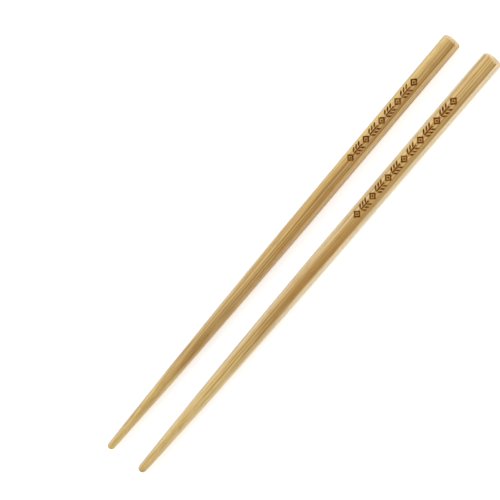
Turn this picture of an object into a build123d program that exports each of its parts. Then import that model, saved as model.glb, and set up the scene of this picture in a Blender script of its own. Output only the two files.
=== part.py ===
from build123d import *
import math
import os

# A pair of bamboo chopsticks lying side by side on their flats, tips towards -X.
# Sizes are in millimetres. The origin is under the middle of the pair, on the surface it lies on.

# Driving dimensions of the sticks
length = 240.0  # nose of the tip to the middle of the big end
upper_thickness = 6.5  # across the flats of the slimmer stick
lower_thickness = 7.0  # across the flats of the stouter stick
long_edge_radius = 1.3  # rounding of the four long edges
upper_tip_diameter = 3.6  # where the nose of the slimmer stick begins
lower_tip_diameter = 4.0  # where the nose of the stouter stick begins
neck_length = 50.0  # tip to the place where the steeper taper of the tip meets the long taper
upper_neck_diameter = 5.7  # the slimmer stick there
lower_neck_diameter = 6.2  # the stouter stick there
taper_length = 145.0  # tip to the place where the long taper leaves the long edges
end_dome_radius = 12.0  # the big end is sanded to a low dome
end_edge_radius = 1.1  # rounding of the edges of the big end
turning_clearance = 0.4  # how far the long taper runs on, clear of the long edges

# How the two sticks lie
tip_spacing = 18.3  # centre to centre at the tips
end_spacing = 17.1  # centre to centre at the big ends
stagger = 5.0  # how far the stouter stick lies ahead of the slimmer one

# Driving dimensions of the burned border on the upper flats
burn_depth = 0.2
border_end_margin = 20.0  # big end to the last lozenge
border_pitch = 9.8  # lozenge to lozenge
upper_border_repeats = 4
lower_border_repeats = 6
lozenge_length = 3.6
lozenge_height = 3.5
stroke_width = 0.5
lozenge_heart_width = 0.6  # flat to flat of the small lozenge inside the open one
leaf_pairs = 3  # pairs of leaves between two lozenges
leaf_length = 2.1
leaf_width = 0.6
leaf_angle = 42.0  # each leaf leans this far from the stem
leaf_gap = 0.3  # stem edge to the foot of a leaf
stem_width = 0.4
stem_gap = 0.7  # stem end to the lozenge beside it

# The pair is centred on its outer faces, so the stouter stick's centre lies nearer the middle
row_shift = (lower_thickness - upper_thickness) / 4


def half_diagonal(thickness):
    """Distance from the axis to the middle of a rounded long edge."""
    return (thickness / 2 - long_edge_radius) * math.sqrt(2) + long_edge_radius


def shank_outline(thickness, neck_diameter):
    """Half outline that the shank is turned to: the long taper, clear of the long edges, and the end dome."""
    neck_radius = neck_diameter / 2
    edge_reach = half_diagonal(thickness)
    clear_reach = edge_reach + turning_clearance
    slope = (edge_reach - neck_radius) / (taper_length - neck_length)
    dome_angle = math.degrees(math.asin(clear_reach / end_dome_radius))
    with BuildSketch() as outline:
        with BuildLine():
            dome = CenterArc((length - end_dome_radius, 0), end_dome_radius, 0, dome_angle)
            Polyline(
                dome @ 1,
                (taper_length + turning_clearance / slope, clear_reach),
                (neck_length, neck_radius),
                (neck_length, 0),
                dome @ 0,
            )
        make_face()
    return outline.sketch


def tip_outline(tip_diameter, neck_diameter):
    """Half outline of the turned tip: the round nose and the steeper taper up to the neck."""
    nose_radius = tip_diameter / 2
    with BuildSketch() as outline:
        with BuildLine():
            nose = CenterArc((nose_radius, 0), nose_radius, 90, 90)
            Polyline(nose @ 0, (neck_length, neck_diameter / 2), (neck_length, 0), nose @ 1)
        make_face()
    return outline.sketch


def leaf_outline():
    """One slender leaf, a lens between two arcs, with its foot at the origin."""
    with BuildSketch() as leaf:
        with BuildLine():
            ThreePointArc((0, 0), (leaf_length / 2, leaf_width / 2), (leaf_length, 0))
            ThreePointArc((leaf_length, 0), (leaf_length / 2, -leaf_width / 2), (0, 0))
        make_face()
    return leaf.sketch


def lozenge_corners(scale):
    """The four corners of the lozenge, drawn in by a scale."""
    half_length = scale * lozenge_length / 2
    half_height = scale * lozenge_height / 2
    return (-half_length, 0), (0, -half_height), (half_length, 0), (0, half_height)


def lozenge_outline():
    """An open lozenge with a small one in its middle."""
    side_distance = lozenge_length * lozenge_height / 2 / math.hypot(lozenge_length, lozenge_height)
    with BuildSketch() as lozenge:
        Polygon(*lozenge_corners(1))
        Polygon(*lozenge_corners(1 - stroke_width / side_distance), mode=Mode.SUBTRACT)
        Polygon(*lozenge_corners(lozenge_heart_width / 2 / side_distance))
    return lozenge.sketch


def sprig_outline():
    """A stem with pairs of leaves, filling the space from one lozenge to the next."""
    leaf = leaf_outline()
    stem_length = border_pitch - lozenge_length - 2 * stem_gap
    stem_start = lozenge_length / 2 + stem_gap
    leaf_reach = leaf_length * math.cos(math.radians(leaf_angle))
    leaf_step = (stem_length - leaf_reach) / (leaf_pairs - 1)
    foot_y = stem_width / 2 + leaf_gap
    with BuildSketch() as sprig:
        with Locations((stem_start + stem_length / 2, 0)):
            Rectangle(stem_length, stem_width)
        for pair in range(leaf_pairs):
            foot_x = stem_start + pair * leaf_step
            with Locations(Location((foot_x, foot_y), leaf_angle)):
                add(leaf)
            with Locations(Location((foot_x, -foot_y), -leaf_angle)):
                add(leaf)
    return sprig.sketch


def border_outline(repeats):
    """Lozenges with sprigs between them, ending border_end_margin short of the big end."""
    lozenge = lozenge_outline()
    sprig = sprig_outline()
    first_lozenge_x = length - border_end_margin - lozenge_length / 2 - repeats * border_pitch
    lozenge_centres = [(first_lozenge_x + index * border_pitch, 0) for index in range(repeats + 1)]
    with BuildSketch() as border:
        with Locations(lozenge_centres):
            add(lozenge)
        with Locations(lozenge_centres[:-1]):
            add(sprig)
    return border.sketch


def make_chopstick(side, tip_x, thickness, tip_diameter, neck_diameter, border_repeats):
    """One stick: a rounded square shank turned to a taper, its round tip, and the border burned in its top."""
    tip = Vector(tip_x, side * tip_spacing / 2 + row_shift, thickness / 2)
    along = Vector(length, side * (end_spacing - tip_spacing) / 2, 0).normalized()
    axis = Axis(tip, along)
    lying = Plane(origin=tip, x_dir=along, z_dir=(0, 0, 1))
    across_neck = Plane(origin=tip + along * neck_length, x_dir=(0, 0, 1), z_dir=along)
    shank = shank_outline(thickness, neck_diameter)
    round_tip = tip_outline(tip_diameter, neck_diameter)
    border = border_outline(border_repeats)

    with BuildPart() as stick:
        with BuildSketch(across_neck):
            RectangleRounded(thickness, thickness, long_edge_radius)
        extrude(amount=length - neck_length)

        with BuildSketch(lying):
            add(shank)
        revolve(axis=axis, mode=Mode.INTERSECT)
        big_end = stick.faces().sort_by(axis)[-1]
        fillet(big_end.edges(), radius=end_edge_radius)

        with BuildSketch(lying):
            add(round_tip)
        revolve(axis=axis)

        with BuildSketch(lying.offset(thickness / 2)):
            add(border)
        extrude(amount=-burn_depth, mode=Mode.SUBTRACT)
    return stick


# The slimmer stick, which the fingers move
upper_chopstick = make_chopstick(
    side=1,
    tip_x=-(length + stagger) / 2,
    thickness=upper_thickness,
    tip_diameter=upper_tip_diameter,
    neck_diameter=upper_neck_diameter,
    border_repeats=upper_border_repeats,
)
upper_chopstick.part.label = "upper_chopstick"

# The stouter stick, which the hand holds still
lower_chopstick = make_chopstick(
    side=-1,
    tip_x=-(length - stagger) / 2,
    thickness=lower_thickness,
    tip_diameter=lower_tip_diameter,
    neck_diameter=lower_neck_diameter,
    border_repeats=lower_border_repeats,
)
lower_chopstick.part.label = "lower_chopstick"

os.makedirs("parts", exist_ok=True)
export_step(upper_chopstick.part, "parts/upper_chopstick.step")
export_step(lower_chopstick.part, "parts/lower_chopstick.step")
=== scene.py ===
import bmesh
import bpy
import math
from mathutils import Matrix, Vector
from mathutils.bvhtree import BVHTree


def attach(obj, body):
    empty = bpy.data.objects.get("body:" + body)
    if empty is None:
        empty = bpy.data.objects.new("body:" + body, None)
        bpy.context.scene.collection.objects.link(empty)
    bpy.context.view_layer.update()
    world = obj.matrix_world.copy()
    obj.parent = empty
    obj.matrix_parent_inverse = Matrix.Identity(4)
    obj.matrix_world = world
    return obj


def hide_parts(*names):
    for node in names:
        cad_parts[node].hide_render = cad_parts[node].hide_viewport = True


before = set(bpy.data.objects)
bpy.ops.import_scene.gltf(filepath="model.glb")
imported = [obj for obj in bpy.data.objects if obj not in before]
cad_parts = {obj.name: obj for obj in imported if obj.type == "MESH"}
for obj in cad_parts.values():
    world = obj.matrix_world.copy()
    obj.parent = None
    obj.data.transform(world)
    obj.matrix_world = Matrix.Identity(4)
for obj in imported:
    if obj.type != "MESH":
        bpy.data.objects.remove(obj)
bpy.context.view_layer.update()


# The two sticks.
# Each is one strip of bamboo, planed to a rounded square bar and turned down to a round tip, with a low
# dome sanded on the big end. All sizes are in metres.
LENGTH = 0.240
LONG_EDGE = 0.0013
END_EDGE = 0.0011
END_DOME = 0.012
NECK_AT = 0.050
TAPER_ENDS_AT = 0.145
EDGE_SOFTNESS = 0.00006
UPPER = {"thickness": 0.0065, "tip": 0.0036, "neck": 0.0057, "repeats": 4}
LOWER = {"thickness": 0.0070, "tip": 0.0040, "neck": 0.0062, "repeats": 6}


def bar_reach(direction, half, corner):
    """Distance from the axis to the face of the rounded square bar, in one direction across it."""
    across, up = abs(math.cos(direction)), abs(math.sin(direction))
    flat = half / max(across, up)
    core = half - corner
    if min(across, up) * flat <= core:
        return flat
    middle = core * (across + up)
    return middle + math.sqrt(max(middle * middle - 2 * core * core + corner * corner, 0.0))


def turned_reach(along, shape):
    """Distance from the axis to the turned face: round nose, steeper taper, long taper."""
    nose = shape["tip"] / 2
    neck = shape["neck"] / 2
    edge = (shape["thickness"] / 2 - LONG_EDGE) * math.sqrt(2) + LONG_EDGE
    if along < nose:
        return math.sqrt(max(nose * nose - (nose - along) ** 2, 0.0))
    if along < NECK_AT:
        return nose + (neck - nose) * (along - nose) / (NECK_AT - nose)
    return neck + (edge - neck) * (along - NECK_AT) / (TAPER_ENDS_AT - NECK_AT)


def side_point(along, direction, shape):
    """A point of the long faces: on the bar or the turned face, whichever is nearer the axis."""
    bar = bar_reach(direction, shape["thickness"] / 2, LONG_EDGE)
    turned = turned_reach(along, shape)
    past_nose = turned > shape["tip"] / 4
    eased = math.hypot(bar - turned, EDGE_SOFTNESS) if past_nose else abs(bar - turned)
    reach = (bar + turned - eased) / 2
    return Vector((along, reach * math.cos(direction), reach * math.sin(direction)))


def end_point(kind, share, direction, shape):
    """A point of the big end: on the rounding that a rolling ball leaves by the dome, or on the dome."""
    half = shape["thickness"] / 2
    core = half - LONG_EDGE
    reach = bar_reach(direction, half, LONG_EDGE)
    side = Vector((0, reach * math.cos(direction), reach * math.sin(direction)))
    inner = Vector((0, min(max(side.y, -core), core), min(max(side.z, -core), core)))
    outward = (side - inner).normalized()
    ball = side - END_EDGE * outward
    dome_middle = Vector((LENGTH - END_DOME, 0, 0))
    ball.x = dome_middle.x + math.sqrt((END_DOME - END_EDGE) ** 2 - ball.length_squared)
    onto_dome = (ball - dome_middle).normalized()
    if kind == "edge":
        return ball + END_EDGE * outward.slerp(onto_dome, share)
    across = share * END_DOME * Vector((0, onto_dome.y, onto_dome.z))
    return dome_middle + across + Vector((math.sqrt(END_DOME ** 2 - across.length_squared), 0, 0))


# The burned border of the sticks.
# Open lozenges, each with a small one inside, and leaf sprigs between them, burned into the middle of
# the upper flat with a hot tool.
BURN_DEPTH = 0.0002
BORDER_END_MARGIN = 0.020
BORDER_PITCH = 0.0098
LOZENGE = (0.0036, 0.0035)
STROKE = 0.0005
HEART = 0.0006
LEAF = (0.0021, 0.0006)
LEAF_RIM_POINTS = 20
LEAF_ANGLE = math.radians(42)
LEAF_PAIRS = 3
LEAF_GAP = 0.0003
STEM_WIDTH = 0.0004
STEM_GAP = 0.0007


def first_lozenge_at(shape):
    """How far from the tip the border's first lozenge is."""
    return LENGTH - BORDER_END_MARGIN - LOZENGE[0] / 2 - shape["repeats"] * BORDER_PITCH


def add_lozenge(bm, middle, share):
    """One lozenge face, its corners drawn in by a share."""
    corners = bmesh.ops.create_circle(bm, cap_ends=True, segments=4, radius=share)["verts"]
    bmesh.ops.scale(bm, vec=(LOZENGE[0] / 2, LOZENGE[1] / 2, 1), verts=corners)
    bmesh.ops.translate(bm, vec=(middle, 0, 0), verts=corners)
    return corners[0].link_faces[0]


def add_leaf(bm, foot, side):
    """One leaf face, a lens with its foot beside the stem, leaning towards the big end."""
    half_length, half_width = LEAF[0] / 2, LEAF[1] / 2
    bow = (half_length ** 2 + half_width ** 2) / (2 * half_width)
    rim = bmesh.ops.create_circle(bm, cap_ends=True, segments=LEAF_RIM_POINTS, radius=1)["verts"]
    for vert in rim:
        along = half_length * vert.co.x
        height = math.sqrt(bow * bow - along * along) - (bow - half_width)
        vert.co = (half_length + along, math.copysign(height, vert.co.y), 0)
    bmesh.ops.rotate(bm, matrix=Matrix.Rotation(side * LEAF_ANGLE, 3, "Z"), verts=rim)
    bmesh.ops.translate(bm, vec=(foot, side * (STEM_WIDTH / 2 + LEAF_GAP), 0), verts=rim)


def border_cutter(shape):
    """The burned border as closed blocks, standing from the pocket floors to just above the flat."""
    bm = bmesh.new()
    slant = LOZENGE[0] * LOZENGE[1] / 2 / math.hypot(*LOZENGE)
    stem_length = BORDER_PITCH - LOZENGE[0] - 2 * STEM_GAP
    leaf_step = (stem_length - LEAF[0] * math.cos(LEAF_ANGLE)) / (LEAF_PAIRS - 1)
    for repeat in range(shape["repeats"] + 1):
        middle = first_lozenge_at(shape) + repeat * BORDER_PITCH
        open_lozenge = add_lozenge(bm, middle, 1)
        bmesh.ops.inset_individual(bm, faces=[open_lozenge], thickness=STROKE, use_even_offset=True)
        bmesh.ops.delete(bm, geom=[open_lozenge], context="FACES_ONLY")
        add_lozenge(bm, middle, HEART / 2 / slant)
        if repeat < shape["repeats"]:
            stem_start = middle + LOZENGE[0] / 2 + STEM_GAP
            stem = bmesh.ops.create_grid(bm, x_segments=1, y_segments=1, size=0.5)["verts"]
            bmesh.ops.scale(bm, vec=(stem_length, STEM_WIDTH, 1), verts=stem)
            bmesh.ops.translate(bm, vec=(stem_start + stem_length / 2, 0, 0), verts=stem)
            for pair in range(LEAF_PAIRS):
                add_leaf(bm, stem_start + pair * leaf_step, 1)
                add_leaf(bm, stem_start + pair * leaf_step, -1)
    bmesh.ops.translate(bm, vec=(0, 0, shape["thickness"] / 2 - BURN_DEPTH), verts=bm.verts)
    raised = bmesh.ops.extrude_face_region(bm, geom=list(bm.faces), use_keep_orig=True)["geom"]
    raised = [part for part in raised if isinstance(part, bmesh.types.BMVert)]
    bmesh.ops.translate(bm, vec=(0, 0, 2 * BURN_DEPTH), verts=raised)
    bmesh.ops.recalc_face_normals(bm, faces=bm.faces)
    return bm


# The surface of the sticks.
# Rings follow one another from the nose to the big end, closer together where the border is burned in,
# so that the scorch beside each mark fades smoothly.
SIDES_ROUND = 128
NOSE_STEP = 6
PLAIN_STEP = 0.0010
BORDER_STEP = 0.00016
FINE_BEFORE_BORDER = 0.0022
FINE_AFTER_BORDER = 0.0006
END_EDGE_STEPS = 12
DOME_SHARES = (0.85, 0.68, 0.5, 0.32, 0.16, 0.0)
SAME_POINT = 1e-7


def ring_places(shape):
    """Rings from nose to big end: along the stick, then round its end edge, then in across its dome."""
    nose = shape["tip"] / 2
    places = [("along", nose * (1 - math.cos(math.radians(turn)))) for turn in range(0, 90, NOSE_STEP)]
    fine_from = first_lozenge_at(shape) - FINE_BEFORE_BORDER
    fine_to = LENGTH - BORDER_END_MARGIN + FINE_AFTER_BORDER
    along = nose
    while along < LENGTH - 2 * END_EDGE:
        places.append(("along", along))
        along += BORDER_STEP if fine_from < along < fine_to else PLAIN_STEP
    places += [("edge", step / END_EDGE_STEPS) for step in range(END_EDGE_STEPS + 1)]
    places += [("dome", share) for share in DOME_SHARES]
    return places


def stick_skin(shape):
    """A grid rolled round the stick, then closed along its seam and at both poles.

    Its rows stand half a step off the middle of the flats, because a row that met the points of the
    lozenges would leave holes beside them when the border is cut.
    """
    places = ring_places(shape)
    bm = bmesh.new()
    bmesh.ops.create_grid(bm, x_segments=len(places) - 1, y_segments=SIDES_ROUND, size=0.5)
    for vert in bm.verts:
        kind, value = places[round((vert.co.x + 0.5) * (len(places) - 1))]
        row = round((vert.co.y + 0.5) * SIDES_ROUND) % SIDES_ROUND
        direction = 2 * math.pi * (row + 0.5) / SIDES_ROUND
        if kind == "along":
            vert.co = side_point(value, direction, shape)
        else:
            vert.co = end_point(kind, value, direction, shape)
    bmesh.ops.remove_doubles(bm, verts=bm.verts, dist=SAME_POINT)
    bmesh.ops.recalc_face_normals(bm, faces=bm.faces)
    return bm


def mesh_object(name, bm):
    """A new object that shows this mesh."""
    mesh = bpy.data.meshes.new(name)
    bm.to_mesh(mesh)
    made = bpy.data.objects.new(name, mesh)
    bpy.context.scene.collection.objects.link(made)
    return made


def burn_in(stick, cutter):
    """Cuts the border's pockets out of the stick and keeps the result as its mesh."""
    cut = stick.modifiers.new("border", "BOOLEAN")
    cut.operation = "DIFFERENCE"
    cut.solver = "EXACT"
    cut.object = cutter
    cut_mesh = bpy.data.meshes.new_from_object(stick.evaluated_get(bpy.context.evaluated_depsgraph_get()))
    cut_mesh.name = stick.name
    stick.modifiers.remove(cut)
    stick.data = cut_mesh


# The finish of the sticks.
# Bare bamboo with a thin satin oil: straw and gold fibres run lengthwise, with a browner band, an amber
# stretch partly of painted shade, and painted light on the rims. Left and right are as seen from the
# tips. The border is charred brown.
SCORCH_REACH = 0.00012
SCORCH_SEARCH = 5 * SCORCH_REACH
SCORCH_FALL = 1.3

STRAW = (0.79, 0.555, 0.210, 1)
GOLDEN_BROWN = (0.49, 0.285, 0.062, 1)
PALE_STRAW = (0.74, 0.56, 0.25, 1)
TIP_YELLOW = (0.82, 0.62, 0.27, 1)
MIDDLE_BROWN = (0.46, 0.245, 0.070, 1)
# Amber: partly the stick's own tone, partly painted shade and reddish reflected light
AMBER_AND_PAINTED_SHADE = (0.48, 0.225, 0.030, 1)
# Painted light on the left half of the upper flat and on the left side faces
LEFT_PAINTED_LIGHT = (0.82, 0.63, 0.36, 1)
LEFT_SIDE_PAINTED_LIGHT = (0.80, 0.65, 0.41, 1)
# Painted light and sheen on the right side faces
RIGHT_SIDE_PAINTED_LIGHT = (0.93, 0.77, 0.50, 1)
# End grain tone with painted light on the big end's dome
END_GRAIN_AND_PAINTED_LIGHT = (0.82, 0.67, 0.43, 1)
BAND_BROWN = (0.32, 0.165, 0.046, 1)
STREAK_BROWN = (0.36, 0.20, 0.05, 1)
DARK_THREAD = (0.30, 0.145, 0.028, 1)
PALE_THREAD = (0.88, 0.70, 0.36, 1)
FLECK_BROWN = (0.22, 0.11, 0.030, 1)
SCORCH_BROWN = (0.34, 0.150, 0.022, 1)
DEEP_CHAR = (0.105, 0.023, 0.001, 1)
LIGHT_CHAR = (0.34, 0.130, 0.012, 1)

TIP_TINT_FADES = (0.010, 0.060)
TIP_TINT = 0.5
SHANK_BEGINS = (0.030, 0.080)
MIDDLE_FADES = (0.100, 0.160)
MIDDLE_TINT = 0.4
THREADS_GROW = (0.0, 0.060)
FIBRE_WANDER = 0.005
BAND_RIGHT_OF_MIDDLE = 0.0017
BAND_FADES = (0.0008, 0.0022)
TIP_SIDE_PAINTED_LIGHT = 0.52


def note_scorch(mesh, cutter_bm, shape):
    """Writes how scorched each point is: fully in the pockets, fading out across the flat beside them."""
    walls = BVHTree.FromBMesh(cutter_bm)
    top = shape["thickness"] / 2
    scorch = mesh.attributes.new("scorch", "FLOAT", "POINT")
    for vert in mesh.vertices:
        if vert.co.z < top - 2 * BURN_DEPTH:
            continue
        nearest = walls.find_nearest(vert.co, SCORCH_SEARCH)
        if nearest[0] is None:
            continue
        in_pocket = vert.co.z < top - BURN_DEPTH / 20 and abs(vert.co.y) < LOZENGE[1] / 2
        gap = 0.0 if in_pocket else nearest[3]
        scorch.data[vert.index].value = math.exp(-((gap / SCORCH_REACH) ** SCORCH_FALL))


def note_grain(mesh, start):
    """Writes each point's place in the stick's own frame, which the fibres follow, from its own start."""
    grain = mesh.attributes.new("grain", "FLOAT_VECTOR", "POINT")
    for vert in mesh.vertices:
        grain.data[vert.index].vector = vert.co + start


def bamboo_finish(name, amber_and_shade_stretch, left_painted_light, right_painted_light):
    """The bamboo of one stick, with its own amber stretch, partly painted shade, and its own painted
    light on either side.
    """
    finish = bpy.data.materials.new(name)
    finish.use_nodes = True
    nodes, links = finish.node_tree.nodes, finish.node_tree.links
    surface = nodes["Principled BSDF"]
    grain = nodes.new("ShaderNodeAttribute")
    grain.attribute_name = "grain"

    def stretched_noise(stretch, scale, detail, roughness=0.5):
        """Noise that is drawn out along the stick."""
        drawn_out = nodes.new("ShaderNodeMapping")
        drawn_out.inputs["Scale"].default_value = (stretch, 1, 1)
        links.new(grain.outputs["Vector"], drawn_out.inputs["Vector"])
        noise = nodes.new("ShaderNodeTexNoise")
        noise.inputs["Scale"].default_value = scale
        noise.inputs["Detail"].default_value = detail
        noise.inputs["Roughness"].default_value = roughness
        links.new(drawn_out.outputs["Vector"], noise.inputs["Vector"])
        return noise.outputs["Fac"]

    def between(source, low, high, to_low=0.0, to_high=1.0):
        """Eases from one value to the other while the source goes from low to high."""
        spread = nodes.new("ShaderNodeMapRange")
        spread.interpolation_type = "SMOOTHSTEP"
        spread.inputs["From Min"].default_value = low
        spread.inputs["From Max"].default_value = high
        spread.inputs["To Min"].default_value = to_low
        spread.inputs["To Max"].default_value = to_high
        links.new(source, spread.inputs["Value"])
        return spread.outputs["Result"]

    def worked(operation, first, second):
        """One operation on two values, each of them a number or an earlier result."""
        step = nodes.new("ShaderNodeMath")
        step.operation = operation
        for socket, value in zip(step.inputs, (first, second)):
            if isinstance(value, float):
                socket.default_value = value
            else:
                links.new(value, socket)
        return step.outputs["Value"]

    def tinted(below, colour, share):
        """Lays a colour over what is below it, by a share."""
        mix = nodes.new("ShaderNodeMix")
        mix.data_type = "RGBA"
        links.new(share, mix.inputs["Factor"])
        for socket, value in ((mix.inputs["A"], below), (mix.inputs["B"], colour)):
            if isinstance(value, tuple):
                socket.default_value = value
            else:
                links.new(value, socket)
        return mix.outputs["Result"]

    fibres = stretched_noise(stretch=0.006, scale=1900, detail=4, roughness=0.70)
    threads = stretched_noise(stretch=0.004, scale=1500, detail=3, roughness=0.60)
    bands = stretched_noise(stretch=0.020, scale=700, detail=2)
    flecks = stretched_noise(stretch=0.030, scale=5200, detail=1)
    drift = stretched_noise(stretch=0.3, scale=60, detail=2)
    patches = stretched_noise(stretch=1.0, scale=900, detail=1)

    where = nodes.new("ShaderNodeSeparateXYZ")
    links.new(grain.outputs["Vector"], where.inputs["Vector"])
    along = where.outputs["X"]
    near_tip = between(along, *TIP_TINT_FADES, 1.0, 0.0)
    past_tip = between(along, *SHANK_BEGINS)
    in_middle = worked("MULTIPLY", past_tip, between(along, *MIDDLE_FADES, 1.0, 0.0))

    # Straw and gold, yellower at the tip and browner in the middle
    colour = tinted(STRAW, GOLDEN_BROWN, between(fibres, 0.42, 0.58))
    colour = tinted(colour, PALE_STRAW, between(drift, 0.48, 0.75, 0.0, 0.45))
    colour = tinted(colour, TIP_YELLOW, worked("MULTIPLY", near_tip, TIP_TINT))
    colour = tinted(colour, MIDDLE_BROWN, worked("MULTIPLY", in_middle, MIDDLE_TINT))

    # The amber stretch, partly the stick's own tone and partly painted shade with reddish reflected
    # light, and painted light on the left half of the upper flat
    wander = worked("MULTIPLY", worked("SUBTRACT", bands, 0.5), FIBRE_WANDER)
    across = worked("ADD", where.outputs["Y"], wander)
    from_tip, to_full, from_full, to_end = amber_and_shade_stretch
    amber_and_shade = between(along, from_tip, to_full)
    amber_and_shade = worked("MULTIPLY", amber_and_shade, between(along, from_full, to_end, 1.0, 0.0))
    amber_and_shade = worked("MULTIPLY", amber_and_shade, between(across, 0.0022, -0.0004, 0.15, 0.50))
    colour = tinted(colour, AMBER_AND_PAINTED_SHADE, amber_and_shade)
    colour = tinted(colour, LEFT_PAINTED_LIGHT, between(across, 0.0004, 0.0020, 0.0, left_painted_light))

    # Painted light on the faces on either side, and on the big end's dome over its end grain
    facing = nodes.new("ShaderNodeSeparateXYZ")
    place = nodes.new("ShaderNodeTexCoord")
    links.new(place.outputs["Normal"], facing.inputs["Vector"])
    to_left, to_big_end = facing.outputs["Y"], facing.outputs["X"]
    to_right = worked("MULTIPLY", to_left, -1.0)
    painted_side_light = between(along, *SHANK_BEGINS, TIP_SIDE_PAINTED_LIGHT, right_painted_light)
    painted_side_light = worked("MULTIPLY", painted_side_light, between(to_right, 0.55, 1.0))
    colour = tinted(colour, RIGHT_SIDE_PAINTED_LIGHT, painted_side_light)
    colour = tinted(colour, LEFT_SIDE_PAINTED_LIGHT, between(to_left, 0.30, 1.0, 0.0, left_painted_light))
    # End grain and painted light on the faces turned towards the big end
    colour = tinted(colour, END_GRAIN_AND_PAINTED_LIGHT, between(to_big_end, 0.25, 0.8, 0.0, 0.75))

    # The browner band right of the middle, weaker at the tip, on the end and round the side
    off_band = worked("ABSOLUTE", worked("ADD", across, BAND_RIGHT_OF_MIDDLE), 0.0)
    in_band = between(off_band, *BAND_FADES, 1.0, 0.0)
    in_band = worked("MULTIPLY", in_band, between(drift, 0.30, 0.62, 0.85, 0.50))
    in_band = worked("MULTIPLY", in_band, worked("ADD", worked("MULTIPLY", past_tip, 0.9), 0.1))
    in_band = worked("MULTIPLY", in_band, between(to_big_end, 0.15, 0.6, 1.0, 0.35))
    in_band = worked("MULTIPLY", in_band, between(to_right, 0.60, 1.0, 1.0, 0.25))
    colour = tinted(colour, BAND_BROWN, in_band)

    # Streaks, dark and pale threads, and short flecks
    colour = tinted(colour, STREAK_BROWN, between(bands, 0.54, 0.74, 0.0, 0.50))
    strength = between(along, *THREADS_GROW, 0.45, 1.0)
    dark_threads = worked("MULTIPLY", between(threads, 0.54, 0.64, 0.0, 0.55), strength)
    pale_threads = worked("MULTIPLY", between(threads, 0.46, 0.37, 0.0, 0.45), strength)
    colour = tinted(colour, DARK_THREAD, dark_threads)
    colour = tinted(colour, PALE_THREAD, pale_threads)
    colour = tinted(colour, FLECK_BROWN, between(flecks, 0.60, 0.74, 0.0, 0.6))

    # The scorched rims of the border and the char in it
    burned = nodes.new("ShaderNodeAttribute")
    burned.attribute_name = "scorch"
    char = tinted(DEEP_CHAR, LIGHT_CHAR, between(patches, 0.42, 0.62))
    colour = tinted(colour, SCORCH_BROWN, between(burned.outputs["Fac"], 0.05, 0.75))
    colour = tinted(colour, char, between(burned.outputs["Fac"], 0.55, 1.0))
    links.new(colour, surface.inputs["Base Color"])

    # The satin of the oil, dull where the border is burned, and the slight relief of the fibres
    oiled = between(fibres, 0.3, 0.7, 0.38, 0.52)
    charred = between(burned.outputs["Fac"], 0.2, 1.0, 0.0, 0.5)
    links.new(worked("ADD", oiled, charred), surface.inputs["Roughness"])
    surface.inputs["IOR"].default_value = 1.5
    surface.inputs["Specular IOR Level"].default_value = 0.25
    relief = nodes.new("ShaderNodeBump")
    relief.inputs["Strength"].default_value = 0.25
    relief.inputs["Distance"].default_value = 0.00004
    links.new(fibres, relief.inputs["Height"])
    links.new(relief.outputs["Normal"], surface.inputs["Normal"])
    return finish


# How the two sticks lie.
# They rest side by side on their flats with the borders up and the tips a little further apart than the
# big ends. The stouter stick lies a little further towards the big ends than the slimmer one.
TIP_SPACING = 0.0183
END_SPACING = 0.0171
STAGGER = 0.005
ROW_SHIFT = (LOWER["thickness"] - UPPER["thickness"]) / 4
SMOOTH_UP_TO = math.radians(40)


def make_stick(name, node, shape, side, tip_x, grain_start, finish):
    """Builds a stick in its own frame, tip first, then lays it in its place on the surface."""
    stick = mesh_object(name, stick_skin(shape))
    cutter_bm = border_cutter(shape)
    cutter = mesh_object(name + "_border", cutter_bm)
    burn_in(stick, cutter)
    note_scorch(stick.data, cutter_bm, shape)
    note_grain(stick.data, grain_start)
    bpy.data.objects.remove(cutter)
    along = Vector((LENGTH, side * (END_SPACING - TIP_SPACING) / 2, 0)).normalized()
    across = Vector((0, 0, 1)).cross(along)
    lying = Matrix((along, across, (0, 0, 1))).transposed().to_4x4()
    lying.translation = (tip_x, side * TIP_SPACING / 2 + ROW_SHIFT, shape["thickness"] / 2)
    stick.data.transform(lying)
    stick.data.shade_smooth()
    stick.data.set_sharp_from_angle(angle=SMOOTH_UP_TO)
    stick.data.materials.append(finish)
    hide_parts(node)
    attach(stick, "root")


UPPER_TIP_X = -(LENGTH + STAGGER) / 2
UPPER_GRAIN = Vector((0, 0, 0.31))
# Where each stick's amber stretch with its painted shade fades in and out, and how much painted light
# each side takes
UPPER_AMBER_AND_SHADE = (0.095, 0.130, 0.160, 0.190)
upper_bamboo = bamboo_finish("upper_bamboo", UPPER_AMBER_AND_SHADE, left_painted_light=0.28, right_painted_light=0.38)
make_stick("upper_stick", "upper_chopstick", UPPER, 1, UPPER_TIP_X, UPPER_GRAIN, upper_bamboo)

LOWER_TIP_X = -(LENGTH - STAGGER) / 2
LOWER_GRAIN = Vector((-0.035, 0, 0.11))
LOWER_AMBER_AND_SHADE = (0.060, 0.100, 0.115, 0.140)
lower_bamboo = bamboo_finish("lower_bamboo", LOWER_AMBER_AND_SHADE, left_painted_light=0.58, right_painted_light=0.95)
make_stick("lower_stick", "lower_chopstick", LOWER, -1, LOWER_TIP_X, LOWER_GRAIN, lower_bamboo)


# The floor.
# A plain white sheet that looks white and still takes the sticks' soft shadow. It glows a little more
# further off, where the lamps no longer reach it.
FLOOR_HALF_WIDTH = 3
NEAR_GLOW, FAR_GLOW = 0.50, 0.76
GLOW_GROWS = (0.35, 1.30)


def shown_as_background(tree):
    """1 for a ray from the camera, off a glossy face or through glass, and 0 for any other."""
    ray = tree.nodes.new("ShaderNodeLightPath")
    shown = ray.outputs["Is Camera Ray"]
    for kind in ("Is Glossy Ray", "Is Transmission Ray"):
        either = tree.nodes.new("ShaderNodeMath")
        either.operation = "MAXIMUM"
        tree.links.new(shown, either.inputs[0])
        tree.links.new(ray.outputs[kind], either.inputs[1])
        shown = either.outputs["Value"]
    return shown


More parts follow.
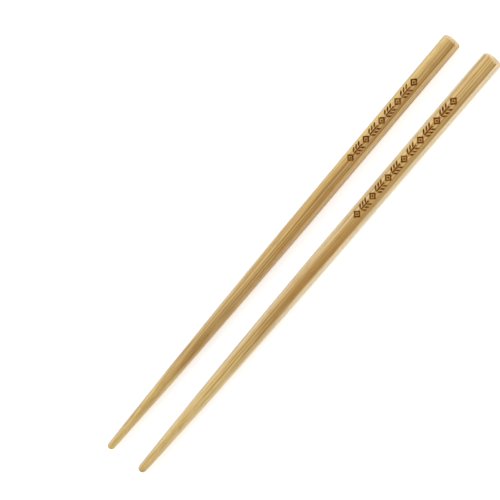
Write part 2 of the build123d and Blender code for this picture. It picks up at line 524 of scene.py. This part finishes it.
floor_bm = bmesh.new()
bmesh.ops.create_grid(floor_bm, x_segments=1, y_segments=1, size=FLOOR_HALF_WIDTH)
floor = mesh_object("floor", floor_bm)
paper = bpy.data.materials.new("white_paper")
paper.use_nodes = True
paper_nodes, paper_links = paper.node_tree.nodes, paper.node_tree.links
sheet = paper_nodes["Principled BSDF"]
sheet.inputs["Base Color"].default_value = (0.80, 0.80, 0.80, 1)
sheet.inputs["Roughness"].default_value = 0.9
glow = paper_nodes.new("ShaderNodeEmission")
glow.inputs["Color"].default_value = (1, 1, 1, 1)
floor_place = paper_nodes.new("ShaderNodeTexCoord")
far_off = paper_nodes.new("ShaderNodeVectorMath")
far_off.operation = "LENGTH"
glow_by_distance = paper_nodes.new("ShaderNodeMapRange")
glow_by_distance.interpolation_type = "SMOOTHSTEP"
glow_by_distance.inputs["From Min"].default_value = GLOW_GROWS[0]
glow_by_distance.inputs["From Max"].default_value = GLOW_GROWS[1]
glow_by_distance.inputs["To Min"].default_value = NEAR_GLOW
glow_by_distance.inputs["To Max"].default_value = FAR_GLOW
lit = paper_nodes.new("ShaderNodeAddShader")
seen = paper_nodes.new("ShaderNodeMixShader")
paper_links.new(floor_place.outputs["Object"], far_off.inputs[0])
paper_links.new(far_off.outputs["Value"], glow_by_distance.inputs["Value"])
paper_links.new(glow_by_distance.outputs["Result"], glow.inputs["Strength"])
paper_links.new(sheet.outputs["BSDF"], lit.inputs[0])
paper_links.new(glow.outputs["Emission"], lit.inputs[1])
paper_links.new(shown_as_background(paper.node_tree), seen.inputs["Fac"])
paper_links.new(sheet.outputs["BSDF"], seen.inputs[1])
paper_links.new(lit.outputs["Shader"], seen.inputs[2])
paper_links.new(seen.outputs["Shader"], paper_nodes["Material Output"].inputs["Surface"])
floor.data.materials.append(paper)


# The room.
# An even pale sky, white where it is seen and dimmer where it only lights the sticks.
SKY_LIGHT = 0.37
SKY_SEEN = 1.0

room = bpy.data.worlds.new("room")
room.use_nodes = True
room_nodes, room_links = room.node_tree.nodes, room.node_tree.links
sky = room_nodes["Background"]
sky.inputs["Color"].default_value = (1, 1, 1, 1)
sky.inputs["Strength"].default_value = SKY_LIGHT
bright_sky = room_nodes.new("ShaderNodeBackground")
bright_sky.inputs["Color"].default_value = (1, 1, 1, 1)
bright_sky.inputs["Strength"].default_value = SKY_SEEN
sky_seen = room_nodes.new("ShaderNodeMixShader")
room_links.new(shown_as_background(room.node_tree), sky_seen.inputs["Fac"])
room_links.new(sky.outputs["Background"], sky_seen.inputs[1])
room_links.new(bright_sky.outputs["Background"], sky_seen.inputs[2])
room_links.new(sky_seen.outputs["Shader"], room_nodes["World Output"].inputs["Surface"])
bpy.context.scene.world = room


# The lamps.
# A broad soft lamp up on the slimmer stick's side, and another low on the stouter stick's side.
def soft_lamp(name, place, width, power):
    """A round soft lamp that faces the middle of the pair."""
    light = bpy.data.lights.new(name, "AREA")
    light.shape = "DISK"
    light.size = width
    light.energy = power
    lamp = bpy.data.objects.new(name, light)
    lamp.location = place
    lamp.rotation_euler = (-Vector(place)).to_track_quat("-Z", "Y").to_euler()
    bpy.context.scene.collection.objects.link(lamp)


soft_lamp("high_lamp", place=(-0.05, 0.65, 0.50), width=1.4, power=6.1)
soft_lamp("low_lamp", place=(0.50, -0.42, 0.36), width=1.2, power=4.6)


# The camera.
# It looks down on the sticks from the side of the big ends, close enough that those look larger, and it
# is rolled so that the tips lie at the lower left and the big ends at the upper right.
AIM = Vector((-0.0038, 0.01775, 0.0035))
DISTANCE = 0.480
LEAN = math.radians(18.5)
SWING = math.radians(21.3)
ROLL = math.radians(50.48)
LENS_IN_PIXELS = 1131
PICTURE_WIDTH = 500
SENSOR_WIDTH = 36
NEAREST_SEEN = 0.01

backward = Vector((math.sin(SWING), -math.sin(LEAN) * math.cos(SWING), math.cos(LEAN) * math.cos(SWING)))
level = Vector((1, 0, 0))
level = (level - level.dot(backward) * backward).normalized()
rise = backward.cross(level)
right = math.cos(ROLL) * level - math.sin(ROLL) * rise
up = math.sin(ROLL) * level + math.cos(ROLL) * rise
lens = bpy.data.cameras.new("camera")
lens.sensor_width = SENSOR_WIDTH
lens.lens = LENS_IN_PIXELS * SENSOR_WIDTH / PICTURE_WIDTH
lens.clip_start = NEAREST_SEEN
camera = bpy.data.objects.new("camera", lens)
facing_pair = Matrix((right, up, backward)).transposed().to_4x4()
camera.matrix_world = Matrix.Translation(AIM + DISTANCE * backward) @ facing_pair
bpy.context.scene.collection.objects.link(camera)
bpy.context.scene.camera = camera
bpy.context.scene.view_settings.view_transform = "Standard"
